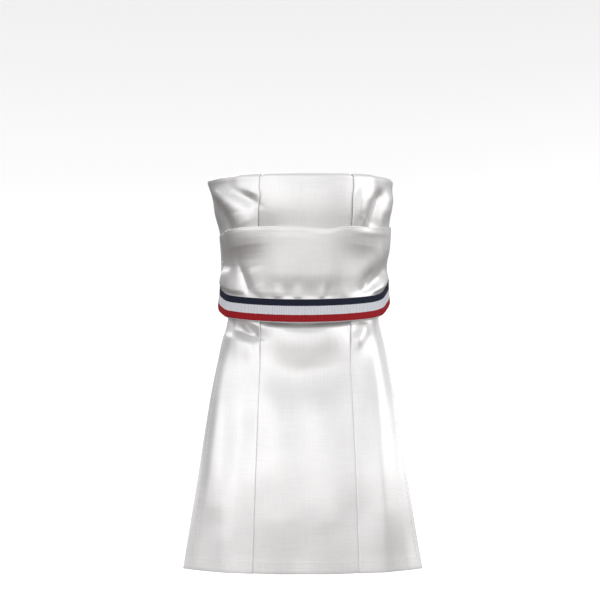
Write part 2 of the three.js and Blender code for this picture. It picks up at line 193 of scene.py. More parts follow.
# Folds: each crest runs from the first of three points toward the second and ends at the third. A fold has
# a height and slopes away over a distance to each hand of its crest. A height below zero makes a hollow.
# Creases come to a sharper line. The side folds lie on the front's side pieces, and the panel folds mostly
# between the pleats. The cover folds swell the cross band over the side folds, and it has folds of its own.
SIDE_FOLDS = [
    dict(s=(-84, -46, -38), z=(68, 47, 12), height=4.6, left_hand=13, right_hand=8.5),
    dict(s=(-74, -60, -47), z=(50, 38, 14), height=-2.6, left_hand=7, right_hand=8),
    dict(s=(-62, -44, -24), z=(72, 59, 48), height=2.0, left_hand=10, right_hand=5),
    dict(s=(-55, -42, -30), z=(58, 51, 43), height=-2.7, left_hand=5, right_hand=6),
    dict(s=(63, 49, 41), z=(64, 50, 20), height=3.6, left_hand=6.5, right_hand=14),
    dict(s=(69, 57, 50), z=(62, 47, 20), height=-4.0, left_hand=8, right_hand=9),
    dict(s=(84, 78, 72), z=(66, 44, 20), height=3.0, left_hand=13, right_hand=13),
    dict(s=(-52, -51, -50), z=(66, 52, 38), height=1.6, left_hand=14, right_hand=14),
    dict(s=(-52, -38, -29), z=(-45, -50, -52), height=-4.2, left_hand=7, right_hand=3),
    dict(s=(-60, -42, -28), z=(-51, -55, -57), height=2.2, left_hand=3, right_hand=12),
    dict(s=(45, 43, 34), z=(-41, -50, -55), height=3.0, left_hand=7, right_hand=4),
    dict(s=(-58, -54, -57), z=(-66, -120, -208), height=3.2, left_hand=8, right_hand=12),
    dict(s=(56, 52, 58), z=(-60, -130, -208), height=3.0, left_hand=12, right_hand=8),
    dict(s=(-40, -44, -70), z=(-80, -150, -208), height=-1.6, left_hand=8, right_hand=8),
]
SIDE_CREASES = [
    dict(s=(39, 40, 44), z=(53, 57.5, 58), height=-1.4, left_hand=2.2, right_hand=2),
    dict(s=(-43, -39, -36), z=(-43, -46, -50), height=0.8, left_hand=2, right_hand=3),
    dict(s=(38, 39, 41), z=(-44, -48, -51), height=-0.7, left_hand=2, right_hand=2),
]
PANEL_FOLDS = [
    dict(s=(-24, 2, 28), z=(-41, -57, -41), height=4.4, left_hand=6, right_hand=15),
    dict(s=(-30, 2, 36), z=(-72, -86, -72), height=-2.4, left_hand=10, right_hand=16),
    dict(s=(-18, -10, -14), z=(-80, -140, -208), height=2.2, left_hand=11, right_hand=15),
    dict(s=(12, 22, 16), z=(-86, -140, -208), height=2.4, left_hand=14, right_hand=11),
]
COVER_FOLDS = [
    dict(s=(-52, -42, -42), z=(44, 24, 4), height=5.2, left_hand=15, right_hand=14),
    dict(s=(50, 46, 44), z=(44, 24, 4), height=2.4, left_hand=15, right_hand=13),
    dict(s=(84, 80, 74), z=(40, 22, 0), height=1.6, left_hand=13, right_hand=13),
]
CROSS_FOLDS = [
    dict(s=(-90, -64, -50), z=(2, 1, 0), height=-2.4, left_hand=12, right_hand=5),
    dict(s=(-90, -48, -43), z=(-14, -10, -26), height=1.9, left_hand=10, right_hand=5),
    dict(s=(-35, -33, -27), z=(-2, -10, -22), height=0.8, left_hand=8, right_hand=4),
    dict(s=(84, 70, 58), z=(16, 12, 2), height=1.0, left_hand=9, right_hand=10),
    dict(s=(86, 56, 45), z=(0, -4, -23), height=-2.6, left_hand=4, right_hand=8),
    dict(s=(82, 61, 51), z=(-10, -13, -26), height=2.6, left_hand=6, right_hand=4),
    dict(s=(-32, 0, 38), z=(-4, -7, -5), height=1.7, left_hand=22, right_hand=11),
    dict(s=(36, 56, 78), z=(24.5, 24, 25), height=0.7, left_hand=2.5, right_hand=2.5),
    dict(s=(8, 16, 24), z=(23.5, 22.5, 24.5), height=0.5, left_hand=2, right_hand=2.5),
]
CROSS_CREASES = [
    dict(s=(-45, -41, -35.5), z=(0, -10, -24), height=-1.7, left_hand=4, right_hand=2),
    dict(s=(56, 47, 43), z=(-2, -9, -24), height=-0.8, left_hand=2.5, right_hand=4),
]

# Puckers: short ridges and hollows that run up from the ribbon's upper edge.
PUCKERS = [
    dict(s=-27, height=0.25, reach=2.6),
    dict(s=-15.3, height=0.5, reach=3.0),
    dict(s=-8.7, height=-0.35, reach=2.6),
    dict(s=-2.2, height=0.5, reach=2.6),
    dict(s=6, height=-0.2, reach=3.0),
    dict(s=13.5, height=0.5, reach=2.2),
    dict(s=17, height=-0.4, reach=2.4),
    dict(s=29, height=0.25, reach=3.0),
]
PUCKER_TOP = 13.0
PUCKER_FALLS_FROM = 3.0
PUCKER_RISES_OVER = 2.0

# The powers that shape a fold's slope: the higher, the rounder its crest.
CREASE_SHAPE = 1.35
FOLD_SHAPE = 2.0

# Slight unevenness of the cloth: wave lengths across and down, and heights.
RIPPLES = [
    dict(across=47, down=83, start=0.4, height=0.10),
    dict(across=-61, down=58, start=1.9, height=0.10),
    dict(across=33, down=-97, start=3.3, height=0.05),
    dict(across=-90, down=37, start=5.1, height=0.05),
    dict(across=21, down=43, start=2.2, height=0.015),
    dict(across=-27, down=24, start=0.9, height=0.012),
]

# How folds begin, blend and end, and how the front's cloth is held under the cross band.
FOLDS_START = 5.0
FOLD_STEPS = 12
FOLD_REACHES = 4.0
FOLD_SIDES_BLEND = 0.6
ROWS_RISE_OVER = 35.0
EDGE_SHARE = 0.35
EDGE_REACH = 6.0
TUCK_CLEAR = 0.5
TUCK_BELOW = 4.0
DRAPE_OVER = 32.0
HELD_OVER = 14.0
CROSS_SLACK = 0.55
FOLDS_END = 8.0
RIM_SETTLES = 13.0
FADE_AT_ENDS = 0.35
FADE_IN = 2.6

# Grids of points: how many columns go round or across, and how many rows go down. Columns and rows lie closer
# together near a rounded edge, at these shares of its radius.
ROUND_STEPS = np.array([0, 0.04, 0.16, 0.36, 0.64])
BAND_GRID = dict(columns=380, rows=72)
PATCH_GRID = dict(columns=60, rows=60)
CROSS_GRID = dict(columns=236, rows=110)
RIBBON_GRID = dict(columns=300, rows=22)
CLOSURE_POINTS = 40
ANGLE_STEP_DEG = 1.0
ANGLE_STEPS = 150

# The front's rows: facing, rim, above, under and below the cross band, and the rest of the bib. Its map's
# distances across are measured along one row of the collar.
FACING_ROWS = 10
RIM_ROWS = 14
COLLAR_ROWS = 56
COVERED_ROWS = 26
UPPER_BIB_ROWS = 46
LOWER_BIB_ROWS = 60
COVERED_FROM = CROSS_TOP_MIDDLE - 2
COVERED_TO = CROSS_LOW + 3
LOWER_BIB_FROM = -72.0
MAP_ROW = 54

# The front's columns on each half, from its edge inward, and those of the panel in the middle.
SIDE_COLUMNS = 32
RAMP_COLUMNS = 10
PLEAT_COLUMNS = 13
RETURN_COLUMNS = 4
UNDER_COLUMNS = 6
TURN_COLUMNS = 9
PANEL_COLUMNS = 44


# Shape functions

def rising(start, stop, x):
    """Goes smoothly from 0 at one place to 1 at another."""
    t = np.clip((x - start) / (stop - start), 0, 1)
    return t * t * (3 - 2 * t)


def mix(a, b, t):
    return a + (b - a) * t


def column(table, by, key, at):
    """A column of a table at places between its rows, on a smooth curve through them."""
    at = np.asarray(at, float)
    rows = sorted(table, key=lambda row: row[by])
    x = np.array([row[by] for row in rows], float)
    y = np.array([row[key] for row in rows], float)
    last = len(rows) - 1
    i = np.clip(np.searchsorted(x, at, side="right") - 1, 0, last - 1)
    before = np.maximum(i - 1, 0)
    after = np.minimum(i + 2, last)
    start = (y[i + 1] - y[before]) / (x[i + 1] - x[before])
    end = (y[after] - y[i]) / (x[after] - x[i])
    span = x[i + 1] - x[i]
    t = np.clip((at - x[i]) / span, 0, 1)
    h = 2 * t**3 - 3 * t**2 + 1
    bend = (t**3 - 2 * t**2 + t) * span * start + (t**3 - t**2) * span * end
    return h * y[i] + (1 - h) * y[i + 1] + bend


def form_at(z, angle):
    """Points of the worn form at heights and angles, and their outward directions."""
    z, angle = np.broadcast_arrays(np.asarray(z, float), np.asarray(angle, float))
    side = np.where(np.sin(angle) < 0, column(FORM, "z", "left", z), column(FORM, "z", "right", z))
    depth = np.where(np.cos(angle) < 0, column(FORM, "z", "back", z), column(FORM, "z", "front", z))
    centre = column(FORM, "z", "centre", z)
    point = np.stack([side * np.sin(angle), centre - depth * np.cos(angle), z], -1)
    along = np.stack([side * np.cos(angle), depth * np.sin(angle)], -1)
    along /= np.linalg.norm(along, axis=-1, keepdims=True)
    out = np.stack([along[..., 1], -along[..., 0], np.zeros_like(z)], -1)
    return point, out


def angle_of(s, z):
    """The angles that lie a distance along the form's outline from the middle of the front."""
    s, z = np.broadcast_arrays(np.asarray(s, float), np.asarray(z, float))
    side = np.where(s < 0, column(FORM, "z", "left", z), column(FORM, "z", "right", z))
    depth = column(FORM, "z", "front", z)
    step = math.radians(ANGLE_STEP_DEG)
    angle = np.zeros_like(s)
    left = np.abs(s)
    for k in range(ANGLE_STEPS):
        middle = (k + 0.5) * step
        length = np.hypot(side * math.cos(middle), depth * math.sin(middle)) * step
        share = np.clip(left / length, 0, 1)
        angle += share * step
        left = left - share * length
        if not left.any():
            break
    return np.sign(s) * angle


def crest_of(fold):
    t = np.linspace(0, 1, FOLD_STEPS + 1)
    return [(1 - t) ** 2 * first + 2 * t * (1 - t) * second + t**2 * third
            for first, second, third in (fold["s"], fold["z"])]


def fold_at(fold, s, z, shape):
    """How high one fold stands at places on the cloth."""
    crest_s, crest_z = crest_of(fold)
    away = np.full(s.shape, np.inf)
    along = np.zeros(s.shape)
    turn = np.zeros(s.shape)
    for k in range(FOLD_STEPS):
        run_s, run_z = crest_s[k + 1] - crest_s[k], crest_z[k + 1] - crest_z[k]
        length = math.hypot(run_s, run_z)
        from_s, from_z = s - crest_s[k], z - crest_z[k]
        share = np.clip((from_s * run_s + from_z * run_z) / length**2, 0, 1)
        to_s, to_z = from_s - share * run_s, from_z - share * run_z
        distance = np.hypot(to_s, to_z)
        nearer = distance < away
        away = np.where(nearer, distance, away)
        along = np.where(nearer, (k + share) / FOLD_STEPS, along)
        side = (run_s * to_z - run_z * to_s) / length / np.maximum(distance, 1e-6)
        turn = np.where(nearer, side, turn)
    to_left = rising(-FOLD_SIDES_BLEND, FOLD_SIDES_BLEND, turn)
    reach = mix(fold["right_hand"], fold["left_hand"], to_left)
    fade = np.minimum(1, FADE_AT_ENDS + FADE_IN * np.minimum(along, 1 - along))
    return fold["height"] * fade * np.exp(-((away / reach) ** shape))


def folds_at(folds, s, z, shape=FOLD_SHAPE):
    """How high the folds of a table stand at places on the cloth."""
    s, z = np.broadcast_arrays(np.asarray(s, float), np.asarray(z, float))
    total = np.zeros(s.shape)
    for fold in folds:
        reach = FOLD_REACHES * max(fold["left_hand"], fold["right_hand"])
        near = (s > min(fold["s"]) - reach) & (s < max(fold["s"]) + reach)
        near &= (z > min(fold["z"]) - reach) & (z < max(fold["z"]) + reach)
        if near.any():
            total[near] += fold_at(fold, s[near], z[near], shape)
    return total


def ripples_at(s, z):
    """How high the slight unevenness of the cloth stands."""
    total = 0
    for row in RIPPLES:
        turns = s / row["across"] + z / row["down"]
        total = total + row["height"] * np.sin(2 * math.pi * turns + row["start"])
    return total


def band_low(angle):
    forward = (1 + np.cos(angle)) / 2
    return mix(BAND_LOW_BACK, BAND_LOW_FRONT, forward**BAND_LOW_SHAPE)


def rim_dip(angle):
    return RIM_DIP * np.sin(angle) ** 2


def cross_top(s):
    return column(CROSS_TOP, "s", "z", s)


def cross_low(s):
    past = np.maximum(0, np.abs(s) - CROSS_END_RISE_FROM)
    return CROSS_LOW + CROSS_RISE * s**2 + CROSS_END_RISE * past**2


def ribbon_top(s):
    return cross_low(s) + RIBBON_MARGIN + RIBBON_WIDTH


def top_beside(s):
    """The height of the cross band's upper edge, which beyond its ends stays as it is there."""
    return cross_top(np.clip(s, -CROSS_LEFT_END, CROSS_RIGHT_END))


def cross_level(s):
    left = column(FRONT, "z", "left_pleat", CROSS_TOP_MIDDLE) + LEFT_PLEAT_DEPTH
    right = column(FRONT, "z", "right_pleat", CROSS_TOP_MIDDLE) + RIGHT_PLEAT_DEPTH
    start = np.where(s < 0, left, right) + PLEAT_RAMP
    settled = rising(0, CROSS_SETTLES, np.abs(s) - start)
    end = np.where(s < 0, CROSS_LEFT_END, CROSS_RIGHT_END)
    at_tip = rising(CROSS_TIP, 0, end - np.abs(s))
    return mix(mix(CROSS_LEVEL, CROSS_END_LEVEL, settled), CROSS_TIP_LEVEL, at_tip)


def row_rise(s, z):
    above = rising(CROSS_LOW + ROWS_RISE_OVER, CROSS_LOW, z)
    below = rising(CROSS_LOW - ROWS_RISE_OVER, CROSS_LOW, z)
    return above * below * (cross_low(s) - CROSS_LOW)


# Meshes

def edged(start, stop, count, first=0.0, last=0.0):
    """Evenly spaced values, with closer ones near an end that is rounded with the given radius."""
    turn = 1 if stop > start else -1
    inner = np.linspace(start + turn * first, stop - turn * last, count)
    head = start + turn * first * ROUND_STEPS if first else []
    tail = (stop - turn * last * ROUND_STEPS)[::-1] if last else []
    return np.concatenate([head, inner, tail])


def cap(distance, radius):
    """The share of full thickness at a distance from a rounded edge."""
    t = np.clip(distance / radius, 0, 1)
    return np.sqrt(np.maximum(0, 1 - (1 - t) ** 2))


def from_border(places, line):
    """How far places lie from the nearer end of a line of rising values."""
    return np.minimum(places - line[0], line[-1] - places)


def facing(points):
    """Outward directions of a grid of points, from its neighbours."""
    down = np.gradient(points, axis=0)
    across = np.gradient(points, axis=1)
    out = np.cross(down, across)
    return out / np.maximum(np.linalg.norm(out, axis=-1, keepdims=True), 1e-9)


def mesh_object(name, mesh):
    """Puts a mesh into the scene, with its faces shaded smoothly."""
    mesh.polygons.foreach_set("use_smooth", np.ones(len(mesh.polygons), bool))
    made = bpy.data.objects.new(name, mesh)
    bpy.context.scene.collection.objects.link(made)
    return made


def cloth(name, points, half, uv, sharp=None):
    """A closed sheet of cloth about a grid of middle points, whose thickness runs out at its borders.

    Its map "cloth" is in metres. Where sharp is given, the map "crease" holds it, from 0 to 1.
    """
    rows, columns = points.shape[:2]
    out = facing(points)
    outer = points + out * half[..., None]
    inner = (points - out * half[..., None])[1:-1, 1:-1]
    vertices = np.concatenate([outer.reshape(-1, 3), inner.reshape(-1, 3)]) * MM
    outer_index = np.arange(rows * columns).reshape(rows, columns)
    inner_index = outer_index.copy()
    inner_count = (rows - 2) * (columns - 2)
    inner_index[1:-1, 1:-1] = (rows * columns + np.arange(inner_count)).reshape(rows - 2, columns - 2)

    def quads(index, order):
        corners = (index[:-1, :-1], index[1:, :-1], index[1:, 1:], index[:-1, 1:])
        return np.stack([corners[k].ravel() for k in order], -1)

    faces = np.concatenate([quads(outer_index, (0, 1, 2, 3)), quads(inner_index, (3, 2, 1, 0))])
    mesh = bpy.data.meshes.new(name)
    mesh.vertices.add(len(vertices))
    mesh.vertices.foreach_set("co", vertices.ravel())
    mesh.loops.add(faces.size)
    mesh.loops.foreach_set("vertex_index", faces.ravel())
    mesh.polygons.add(len(faces))
    mesh.polygons.foreach_set("loop_start", np.arange(0, faces.size, 4))
    mesh.update(calc_edges=True)
    flat_uv = uv.reshape(-1, 2) * MM
    vertex_uv = np.concatenate([flat_uv, uv[1:-1, 1:-1].reshape(-1, 2) * MM])
    layer = mesh.uv_layers.new(name="cloth")
    layer.data.foreach_set("uv", vertex_uv[faces.ravel()].ravel())
    if sharp is not None:
        creased = np.concatenate([sharp.ravel(), sharp[1:-1, 1:-1].ravel()])
        layer = mesh.uv_layers.new(name="crease")
        layer.data.foreach_set("uv", np.repeat(creased[faces.ravel()], 2))
    mesh.validate()
    return mesh_object(name, mesh)


def run_along(path):
    """How far each point of a path lies along it from the first."""
    return np.concatenate([[0], np.cumsum(np.linalg.norm(np.diff(path, axis=0), axis=-1))])


def stitches(name, path, out):
    """A row of stitches along a path on a piece's outer face. Each thread dips in at both its ends."""
    run = run_along(path)
    starts = np.arange(STITCH_GAP, run[-1] - STITCH_LENGTH, STITCH_LENGTH + STITCH_GAP)
    turns = np.arange(STITCH_SIDES) * 2 * math.pi / STITCH_SIDES

    def place(grid, at):
        return np.stack([np.interp(at, run, grid[:, axis]) for axis in range(3)], -1)

    rings = []
    for row in STITCH_PROFILE:
        at = starts + row["share"] * STITCH_LENGTH
        up = place(out, at)
        ahead = place(path, at + STITCH_REACH) - place(path, at - STITCH_REACH)
        side = np.cross(ahead, up)
        side /= np.linalg.norm(side, axis=-1, keepdims=True)
        centre = place(path, at) + up * row["lift"]
        spokes = np.cos(turns)[None, :, None] * side[:, None] + np.sin(turns)[None, :, None] * up[:, None]
        rings.append(centre[:, None] + spokes * STITCH_RADIUS * row["thick"])
    vertices = np.stack(rings, 1).reshape(-1, 3) * MM
    faces = []
    for number in range(len(starts)):
        first = number * len(STITCH_PROFILE) * STITCH_SIDES
        last = first + (len(STITCH_PROFILE) - 1) * STITCH_SIDES
        faces.append([first + k for k in reversed(range(STITCH_SIDES))])
        faces.append([last + k for k in range(STITCH_SIDES)])
        for ring in range(len(STITCH_PROFILE) - 1):
            near = first + ring * STITCH_SIDES
            far = near + STITCH_SIDES
            for k in range(STITCH_SIDES):
                after = (k + 1) % STITCH_SIDES
                faces.append([near + k, near + after, far + after, far + k])
    mesh = bpy.data.meshes.new(name)
    mesh.from_pydata(vertices.tolist(), [], faces)
    return mesh_object(name, mesh)


# Camera

def make_camera():
    data = bpy.data.cameras.new("camera")
    data.lens = CAMERA_LENS
    data.sensor_width = CAMERA_SENSOR
    camera = bpy.data.objects.new("camera", data)
    camera.location = [value * MM for value in CAMERA_AT]
    camera.rotation_euler = (math.radians(90), 0, 0)
    bpy.context.scene.collection.objects.link(camera)
    bpy.context.scene.camera = camera


make_camera()


# Neck band

def neck_band():
    overlap = math.radians(OVERLAP_HALF_DEG)
    risen = math.pi - overlap - math.radians(OVERLAP_CLEAR_DEG)
    flat = risen - math.radians(OVERLAP_RISE_DEG)
    radius = BAND_HALF
    edge = radius / BAND_RADIUS
    angles = edged(-math.pi - overlap, math.pi + overlap, BAND_GRID["columns"], edge, edge)
    down = edged(0, BAND_HEIGHT, BAND_GRID["rows"], radius, radius) / BAND_HEIGHT
    angle, v = np.meshgrid(angles, down)
    top = BAND_TOP - rim_dip(angle)
    z = mix(top, band_low(angle), v)
    point, out = form_at(z, angle)
    point = point + out * (OUTER_END_LEVEL * rising(flat, risen, angle))[..., None]
    from_edge = from_border(v, down) * (top - band_low(angle))
    from_end = from_border(angle, angles) * BAND_RADIUS
    half = BAND_HALF * cap(np.minimum(from_edge, from_end), radius)
    uv = np.stack([angle * BAND_MAP_RADIUS, z], -1)
    piece = cloth("neck_band_cloth", point, half, uv)
    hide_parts("neck_band")
    return piece, closure_stitches(angles[-1])


def closure_stitches(last_angle):
    """A rectangle of stitches on the band's outer end, which holds the tape on its inner side."""
    patch_half = math.radians(PATCH_HALF_DEG)
    left = math.pi - patch_half + CLOSURE_STITCH_IN / BAND_RADIUS
    right = min(last_angle, math.pi + patch_half) - CLOSURE_STITCH_IN / BAND_RADIUS
    low = PATCH_LOW + CLOSURE_STITCH_IN
    high = PATCH_HIGH - CLOSURE_STITCH_IN
    corners = [(left, low), (right, low), (right, high), (left, high), (left, low)]
    angle, z = [], []
    for (from_angle, from_z), (to_angle, to_z) in zip(corners, corners[1:]):
        angle.append(np.linspace(from_angle, to_angle, CLOSURE_POINTS))
        z.append(np.linspace(from_z, to_z, CLOSURE_POINTS))
    point, out = form_at(np.concatenate(z), np.concatenate(angle))
    return stitches("closure_stitches", point + out * (OUTER_END_LEVEL + BAND_HALF), out)


# Hook-and-loop patch

def back_patch():
    half_angle = math.radians(PATCH_HALF_DEG)
    edge = PATCH_EDGE / BAND_RADIUS
    angles = edged(math.pi - half_angle, math.pi + half_angle, PATCH_GRID["columns"], edge, edge)
    heights = edged(PATCH_HIGH, PATCH_LOW, PATCH_GRID["rows"], PATCH_EDGE, PATCH_EDGE)
    angle, z = np.meshgrid(angles, heights)
    point, out = form_at(z, angle)
    point = point + out * PATCH_LEVEL
    from_edge = from_border(z, heights[::-1])
    from_end = from_border(angle, angles) * BAND_RADIUS
    half = PATCH_HALF * cap(np.minimum(from_edge, from_end), PATCH_EDGE)
    uv = np.stack([angle * BAND_RADIUS, z], -1)
    piece = cloth("hook_loop_tape", point, half, uv)
    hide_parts("hook_loop_patch")
    return piece


# Pleated front

def front_half(z, edge_key, pleat_key, depth):
    """One half of the front's run across, from its edge to the middle panel, at a height."""
    edge = float(column(FRONT, "z", edge_key, z))
    pleat = float(column(FRONT, "z", pleat_key, z))
    back = pleat + depth
    foot = back + PLEAT_CLEAR
    radius = PLEAT_PITCH / 2
    stops = []

    def flat(places, level, lift):
        for s in places:
            stops.append((s, level, lift, 0))

    def turned(at, level, side, first, last):
        for t in np.linspace(0, 1, TURN_COLUMNS)[1:-1]:
            angle = math.pi * (0.5 - t)
            s = at - side * radius * math.cos(angle)
            stops.append((s, level + radius * math.sin(angle), mix(first, last, t), float(side > 0)))

    beyond = edged(edge, foot + PLEAT_RAMP, SIDE_COLUMNS, HEM_HALF)
    for s in [*beyond[:-1], *np.linspace(foot + PLEAT_RAMP, foot, RAMP_COLUMNS)]:
        past_pleat = mix(SIDE_LEVEL, PANEL_LEVEL, rising(0, PLEAT_RAMP, s - foot))
        settled = rising(0, FRONT_EDGE_SETTLES, edge - s)
        stops.append((s, float(mix(FRONT_EDGE_LEVEL, past_pleat, settled)), 1, 0))
    flat(np.linspace(back, pleat, PLEAT_COLUMNS), SIDE_LEVEL, 1)
    turned(pleat, (SIDE_LEVEL + RETURN_LEVEL) / 2, 1, 1, 0.5)
    flat(np.linspace(pleat, back, RETURN_COLUMNS), RETURN_LEVEL, 0.5)
    turned(back, (RETURN_LEVEL + PANEL_LEVEL) / 2, -1, 0.5, 0)
    flat(np.linspace(back, pleat, UNDER_COLUMNS), PANEL_LEVEL, 0)
    return np.array(stops), pleat


def front_run(z):
    """The front's run across at a height, with a row for each stop.

    A row has the distance from the middle, the level, the lift, whether it is a pleat's sharp edge, the share
    of the panel's rise and the nearest pleat's place.
    """
    left, left_pleat = front_half(z, "left_edge", "left_pleat", LEFT_PLEAT_DEPTH)
    right, right_pleat = front_half(z, "right_edge", "right_pleat", RIGHT_PLEAT_DEPTH)
    span = np.linspace(-left_pleat, right_pleat, PANEL_COLUMNS + 2)
    middle = span[1:-1]
    none = np.zeros(PANEL_COLUMNS)
    panel = np.stack([middle, none + PANEL_LEVEL, none, none], -1)
    left[:, 0] *= -1
    run = np.concatenate([left, panel, right[::-1]])
    risen = rising(0, PANEL_RISE_OVER, from_border(middle, span))
    rise = np.concatenate([np.zeros(len(left)), risen, np.zeros(len(right))])
    pleat = np.concatenate([np.full(len(left), left_pleat), none, np.full(len(right), right_pleat)])
    return np.column_stack([run, rise, pleat])


def layer_folds(s, z, lift, pleat):
    """The front's folds: ridges lie down at a pleat's edge, and hollows press all its layers in."""
    near = rising(0, EDGE_REACH, np.abs(s) - pleat)
    folds = folds_at(SIDE_FOLDS, s, z) + folds_at(SIDE_CREASES, s, z, CREASE_SHAPE)
    raised = lift * mix(EDGE_SHARE, 1, near) * np.maximum(0, folds)
    return raised + np.minimum(0, folds) + folds_at(PANEL_FOLDS, s, z) + ripples_at(s, z)


def cover_at(s, z):
    """How far the side folds lift the cross band, which spans them in wide swells below its upper edge."""
    top = top_beside(s)
    return rising(top - DRAPE_OVER, top, z) * folds_at(COVER_FOLDS, s, z)


def front_raise(s, z, lift, pleat):
    """How far the front stands out: its folds lie down at the rim and are held under the cross band."""
    top = top_beside(s)
    low = cross_low(s)
    rim = rising(BAND_TOP, BAND_TOP - RIM_SETTLES, z)
    own = rim * layer_folds(s, z, lift, pleat)
    held = rising(top + HELD_OVER, top, z)
    under = rising(low - TUCK_CLEAR, low - TUCK_BELOW, z)
    upper = mix(own, np.minimum(own, cover_at(s, z)), held)
    pressed = np.minimum(0, cross_own_folds(s, z) + CROSS_SLACK)
    return mix(upper, own, under) + pressed


def pleated_front():
    inside = edged(FACING_Z, RIM_CENTRE, FACING_ROWS, FRONT_HALF)[:-1]
    outside = np.concatenate([
        np.linspace(RIM_CENTRE, COVERED_FROM, COLLAR_ROWS)[1:],
        np.linspace(COVERED_FROM, COVERED_TO, COVERED_ROWS)[1:-1],
        np.linspace(COVERED_TO, LOWER_BIB_FROM, UPPER_BIB_ROWS),
        edged(LOWER_BIB_FROM, HEM_Z, LOWER_BIB_ROWS, 0, HEM_HALF)[1:],
    ])
    heights = np.concatenate([inside, np.full(RIM_ROWS, RIM_CENTRE), outside])
    over_rim = np.linspace(180, 0, RIM_ROWS)
    turn = np.concatenate([np.full(len(inside), 180), over_rim, np.zeros(len(outside))])
    turn = np.radians(turn)[:, None]
    run = np.array([front_run(height) for height in heights])
    s, level, lift, sharp, rise, pleat = (run[..., k] for k in range(6))
    z = heights[:, None] + row_rise(s, heights[:, None])
    angle = angle_of(s, z)
    level = level + np.where(turn == 0, front_raise(s, z, lift, pleat), 0)
    on_rim = np.zeros(turn.shape, bool)
    on_rim[len(inside):len(inside) + RIM_ROWS] = True
    point, out = form_at(z - on_rim * rim_dip(angle), angle)
    up = on_rim * rise * RIM_RISE
    point = point + out * (level * np.cos(turn))[..., None]
    point[..., 2] += level * np.sin(turn) + up
    across = run_along(point[MAP_ROW])
    down = run_along(point[:, run.shape[1] // 2])
    uv = np.stack(np.broadcast_arrays(across[None, :], -down[:, None]), -1)
    from_side = from_border(across, across)[None, :]
    hem = np.minimum(from_side, (down[-1] - down)[:, None])
    past_hem = rising(HEM_WIDTH - HEM_STEP / 2, HEM_WIDTH + HEM_STEP / 2, hem)
    from_edge = np.minimum(from_side, from_border(down, down)[:, None])
    half = mix(HEM_HALF, FRONT_HALF, past_hem) * cap(from_edge, HEM_HALF)
    piece = cloth("pleated_front_cloth", point, half, uv, sharp)
    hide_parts("pleated_front")
    out = facing(point)
    face = point + out * half[..., None]
    seen = (lift == 1) | (pleat == 0)
    return piece, hem_stitches(face, out, across, down, seen)


def hem_stitches(face, out, across, down, seen):
    """Stitches along the bib's side hems, below the cross band, and along its lower hem where that shows."""
    bottom = int(np.argmin(np.abs(down[-1] - HEM_STITCH_IN - down)))
    first = int(np.argmin(np.abs(across - HEM_STITCH_IN)))
    last = int(np.argmin(np.abs(across[-1] - HEM_STITCH_IN - across)))
    is_below = (face[:, first, 2] < CROSS_LOW - TUCK_BELOW) & (np.arange(len(down)) > bottom // 2)
    below = int(np.argmax(is_below))
    rows = []
    for column_number, side in ((first, "left"), (last, "right")):
        path = face[below:bottom + 1, column_number]
        rows.append(stitches(f"{side}_hem_stitches", path, out[below:bottom + 1, column_number]))
    shown = [k for k in range(first, last + 1) if seen[bottom, k]]
    breaks = [n for n in range(1, len(shown)) if shown[n] != shown[n - 1] + 1]
    for number, part in enumerate(np.split(shown, breaks), 1):
        rows.append(stitches(f"lower_hem_stitches_{number}", face[bottom, part], out[bottom, part]))
    return rows


# Cross band and ribbon

def cross_own_folds(s, z):
    """The cross band's own folds, which lie down at its ends, at its upper edge and under the ribbon."""
    low = ribbon_top(s)
    top = top_beside(s)
    above = rising(low, low + FOLDS_START, z)
    below = rising(top, top - FOLDS_END, z)
    end = np.where(s < 0, CROSS_LEFT_END, CROSS_RIGHT_END)
    inside = rising(end, end - FOLDS_END, np.abs(s))
    folds = folds_at(CROSS_FOLDS, s, z) + folds_at(CROSS_CREASES, s, z, CREASE_SHAPE)
    return above * below * inside * folds


def cross_raise(s, z):
    """How far the cross band stands out, with the swells of the folds that lie under it."""
    low = ribbon_top(s)
    ripples = rising(low, low + FOLDS_START, z) * ripples_at(s, z)
    return cross_own_folds(s, z) + cover_at(s, z) + ripples + puckers_at(s, z - low)


def puckers_at(s, above_ribbon):
    """Short ridges and hollows that run up from the ribbon's upper edge."""
    total = 0
    for row in PUCKERS:
        total = total + row["height"] * np.exp(-(((s - row["s"]) / row["reach"]) ** 2))
    risen = rising(0, PUCKER_RISES_OVER, above_ribbon)
    return total * risen * rising(PUCKER_TOP, PUCKER_FALLS_FROM, above_ribbon)


def cross_points(s, z, above):
    point, out = form_at(z, angle_of(s, z))
    return point + out * (cross_level(s) + above + cross_raise(s, z))[..., None]


def cross_band():
    radius = CROSS_EDGE
    columns = edged(-CROSS_LEFT_END, CROSS_RIGHT_END, CROSS_GRID["columns"], radius, radius)
    down = edged(0, CROSS_HEIGHT, CROSS_GRID["rows"], radius, radius) / CROSS_HEIGHT
    s, v = np.meshgrid(columns, down)
    z = mix(cross_top(s), cross_low(s), v)
    point = cross_points(s, z, 0)
    height = cross_top(s) - cross_low(s)
    from_edge = np.minimum(from_border(v, down) * height, from_border(s, columns))
    roll = mix(CROSS_ROLL, CROSS_HALF, rising(CROSS_ROLL_START, CROSS_ROLL_END, v * height))
    half = roll * cap(from_edge, radius)
    uv = np.stack([s, z], -1)
    piece = cloth("cross_band_cloth", point, half, uv)
    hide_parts("cross_band")
    out = facing(point)
    face = point + out * half[..., None]
    rows = []
    for at, side in ((columns[0] + END_STITCH_IN, "left"), (columns[-1] - END_STITCH_IN, "right")):
        k = int(np.argmin(np.abs(columns - at)))
        above = z[:, k] > ribbon_top(columns[k])
        shown = above & (v[:, k] * height[:, k] > CROSS_STITCHES_FROM)
        rows.append(stitches(f"{side}_end_stitches", face[shown, k], out[shown, k]))
    return piece, rows


